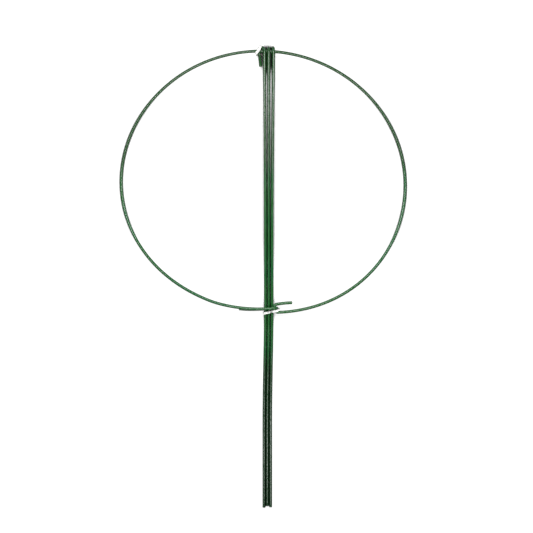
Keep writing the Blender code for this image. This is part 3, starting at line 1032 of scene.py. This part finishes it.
def sky_lift(shader):
    """What is added to the open sky over the floor before its painted shade is taken from it: least up the
    legs and most beside the hooks.
    """
    place = shader.place()
    along = shader.part_of(place, "Y")
    across = shader.part_of(place, "X")
    left_edge = BUNDLE_X - BUNDLE_HALF_WIDTH
    right_edge = BUNDLE_X + BUNDLE_HALF_WIDTH
    left_of = shader.spread(across, left_edge - SHADE_EDGE, left_edge, 1.0, 0.0)
    right_of = shader.spread(across, right_edge, right_edge + SHADE_EDGE, 0.0, 1.0)
    beside = shader.plus(left_of, right_of)
    by_hooks = shader.times(shader.spread(along, *HOOK_ZONE, 0.0, HOOK_LIFT), beside)
    return shader.plus(shader.spread(along, *MIDDLE_ZONE, TIP_LIFT, HEAD_LIFT), by_hooks)


def make_floor():
    """A pale floor, white where nothing stands close over it, that keeps the object's shadow and has painted
    shade near it.
    """
    half = FLOOR_HALF_SIDE
    corners = [(-half, -half, 0), (half, -half, 0), (half, half, 0), (-half, half, 0)]
    mesh = bpy.data.meshes.new("floor")
    mesh.from_pydata(corners, [], [(0, 1, 2, 3)])
    floor = bpy.data.objects.new("floor", mesh)
    bpy.context.scene.collection.objects.link(floor)
    shader = Shader(bpy.data.materials.new("floor"))
    shader.surface.inputs["Roughness"].default_value = 0.9
    shader.surface.inputs["Specular IOR Level"].default_value = 0.0
    # Painted shade from ambient occlusion and place dims the floor's colour and its glow
    open_sky = shader.add("ShaderNodeAmbientOcclusion", samples=SHADE_SAMPLES)
    open_sky.inputs["Distance"].default_value = SHADE_REACH
    sky = shader.plus(open_sky.outputs["AO"], sky_lift(shader))
    bright = shader.spread(sky, *SHADE_LEVELS, 0.0, 1.0)
    shader.link(shader.blend(bright, FLOOR_SHADED, FLOOR_OPEN), shader.surface.inputs["Base Color"])
    glow = shader.times(shader.spread(bright, 0.0, 1.0, 0.0, FLOOR_GLOW), seen_directly(shader))
    shader.surface.inputs["Emission Color"].default_value = (1.0, 1.0, 1.0, 1.0)
    shader.link(glow, shader.surface.inputs["Emission Strength"])
    mesh.materials.append(shader.owner)


def make_world():
    """A studio surround, white at the sides and dark overhead, that gives little light of its own."""
    world = bpy.data.worlds.new("world")
    bpy.context.scene.world = world
    shader = Shader(world)
    background = shader.tree.nodes["Background"]
    upward = shader.part_of(shader.add("ShaderNodeTexCoord").outputs["Generated"], "Z")
    walls = shader.spread(upward, *CEILING_EDGE, 1.0, CEILING_LEVEL)
    seen = seen_directly(shader)
    gentle = shader.spread(seen, 0.0, 1.0, FILL_LEVEL, 1.0)
    shader.link(shader.times(walls, gentle), background.inputs["Strength"])


def make_lamp(name, place, target, width, depth, power):
    """A soft oblong lamp that looks at a point."""
    lamp = bpy.data.lights.new(name, "AREA")
    lamp.shape = "RECTANGLE"
    lamp.size = width
    lamp.size_y = depth
    lamp.energy = power
    holder = bpy.data.objects.new(name, lamp)
    holder.location = place
    holder.rotation_euler = (Vector(target) - Vector(place)).to_track_quat("-Z", "Y").to_euler()
    holder.visible_camera = False
    bpy.context.scene.collection.objects.link(holder)


def make_camera():
    camera = bpy.data.cameras.new("camera")
    camera.sensor_width = SENSOR
    camera.lens = SENSOR * CAMERA_DISTANCE / (PIXELS * MM_PER_PIXEL * MM)
    camera.clip_end = 100.0
    holder = bpy.data.objects.new("camera", camera)
    holder.location = VIEW_CENTRE + Vector((0, 0, CAMERA_DISTANCE))
    bpy.context.scene.collection.objects.link(holder)
    bpy.context.scene.camera = holder


def make_support():
    materials = {
        "vinyl": vinyl_material(),
        "steel": steel_material(),
        "tie": tie_material(),
        "tie wire": tie_wire_material(),
    }
    make_wire("hoop", hoop_route(), 1.0, "hoop", materials)
    for seed, name in enumerate(LEG_LENGTHS, start=2):
        make_wire(name, leg_route(name), float(seed), name, materials)
    make_tie("closure_tie", closure_tie_line(), 0.4, "hoop", materials)
    make_tie("head_tie", head_tie_line(), 1.7, "left_leg", materials)


make_camera()
make_support()
make_floor()
make_world()
make_lamp("overhead strip", (0.0, 0.25, 1.1), (0.0, 0.24, 0.0), width=0.9, depth=0.16, power=10.0)
make_lamp("near strip", (0.0, -0.31, 1.1), (0.0, -0.3, 0.0), width=0.6, depth=0.14, power=5.0)
make_lamp("far side", (-0.3, 1.3, 1.5), (0.0, 0.1, 0.0), width=0.9, depth=0.6, power=13.0)
bpy.context.scene.view_settings.view_transform = "Standard"
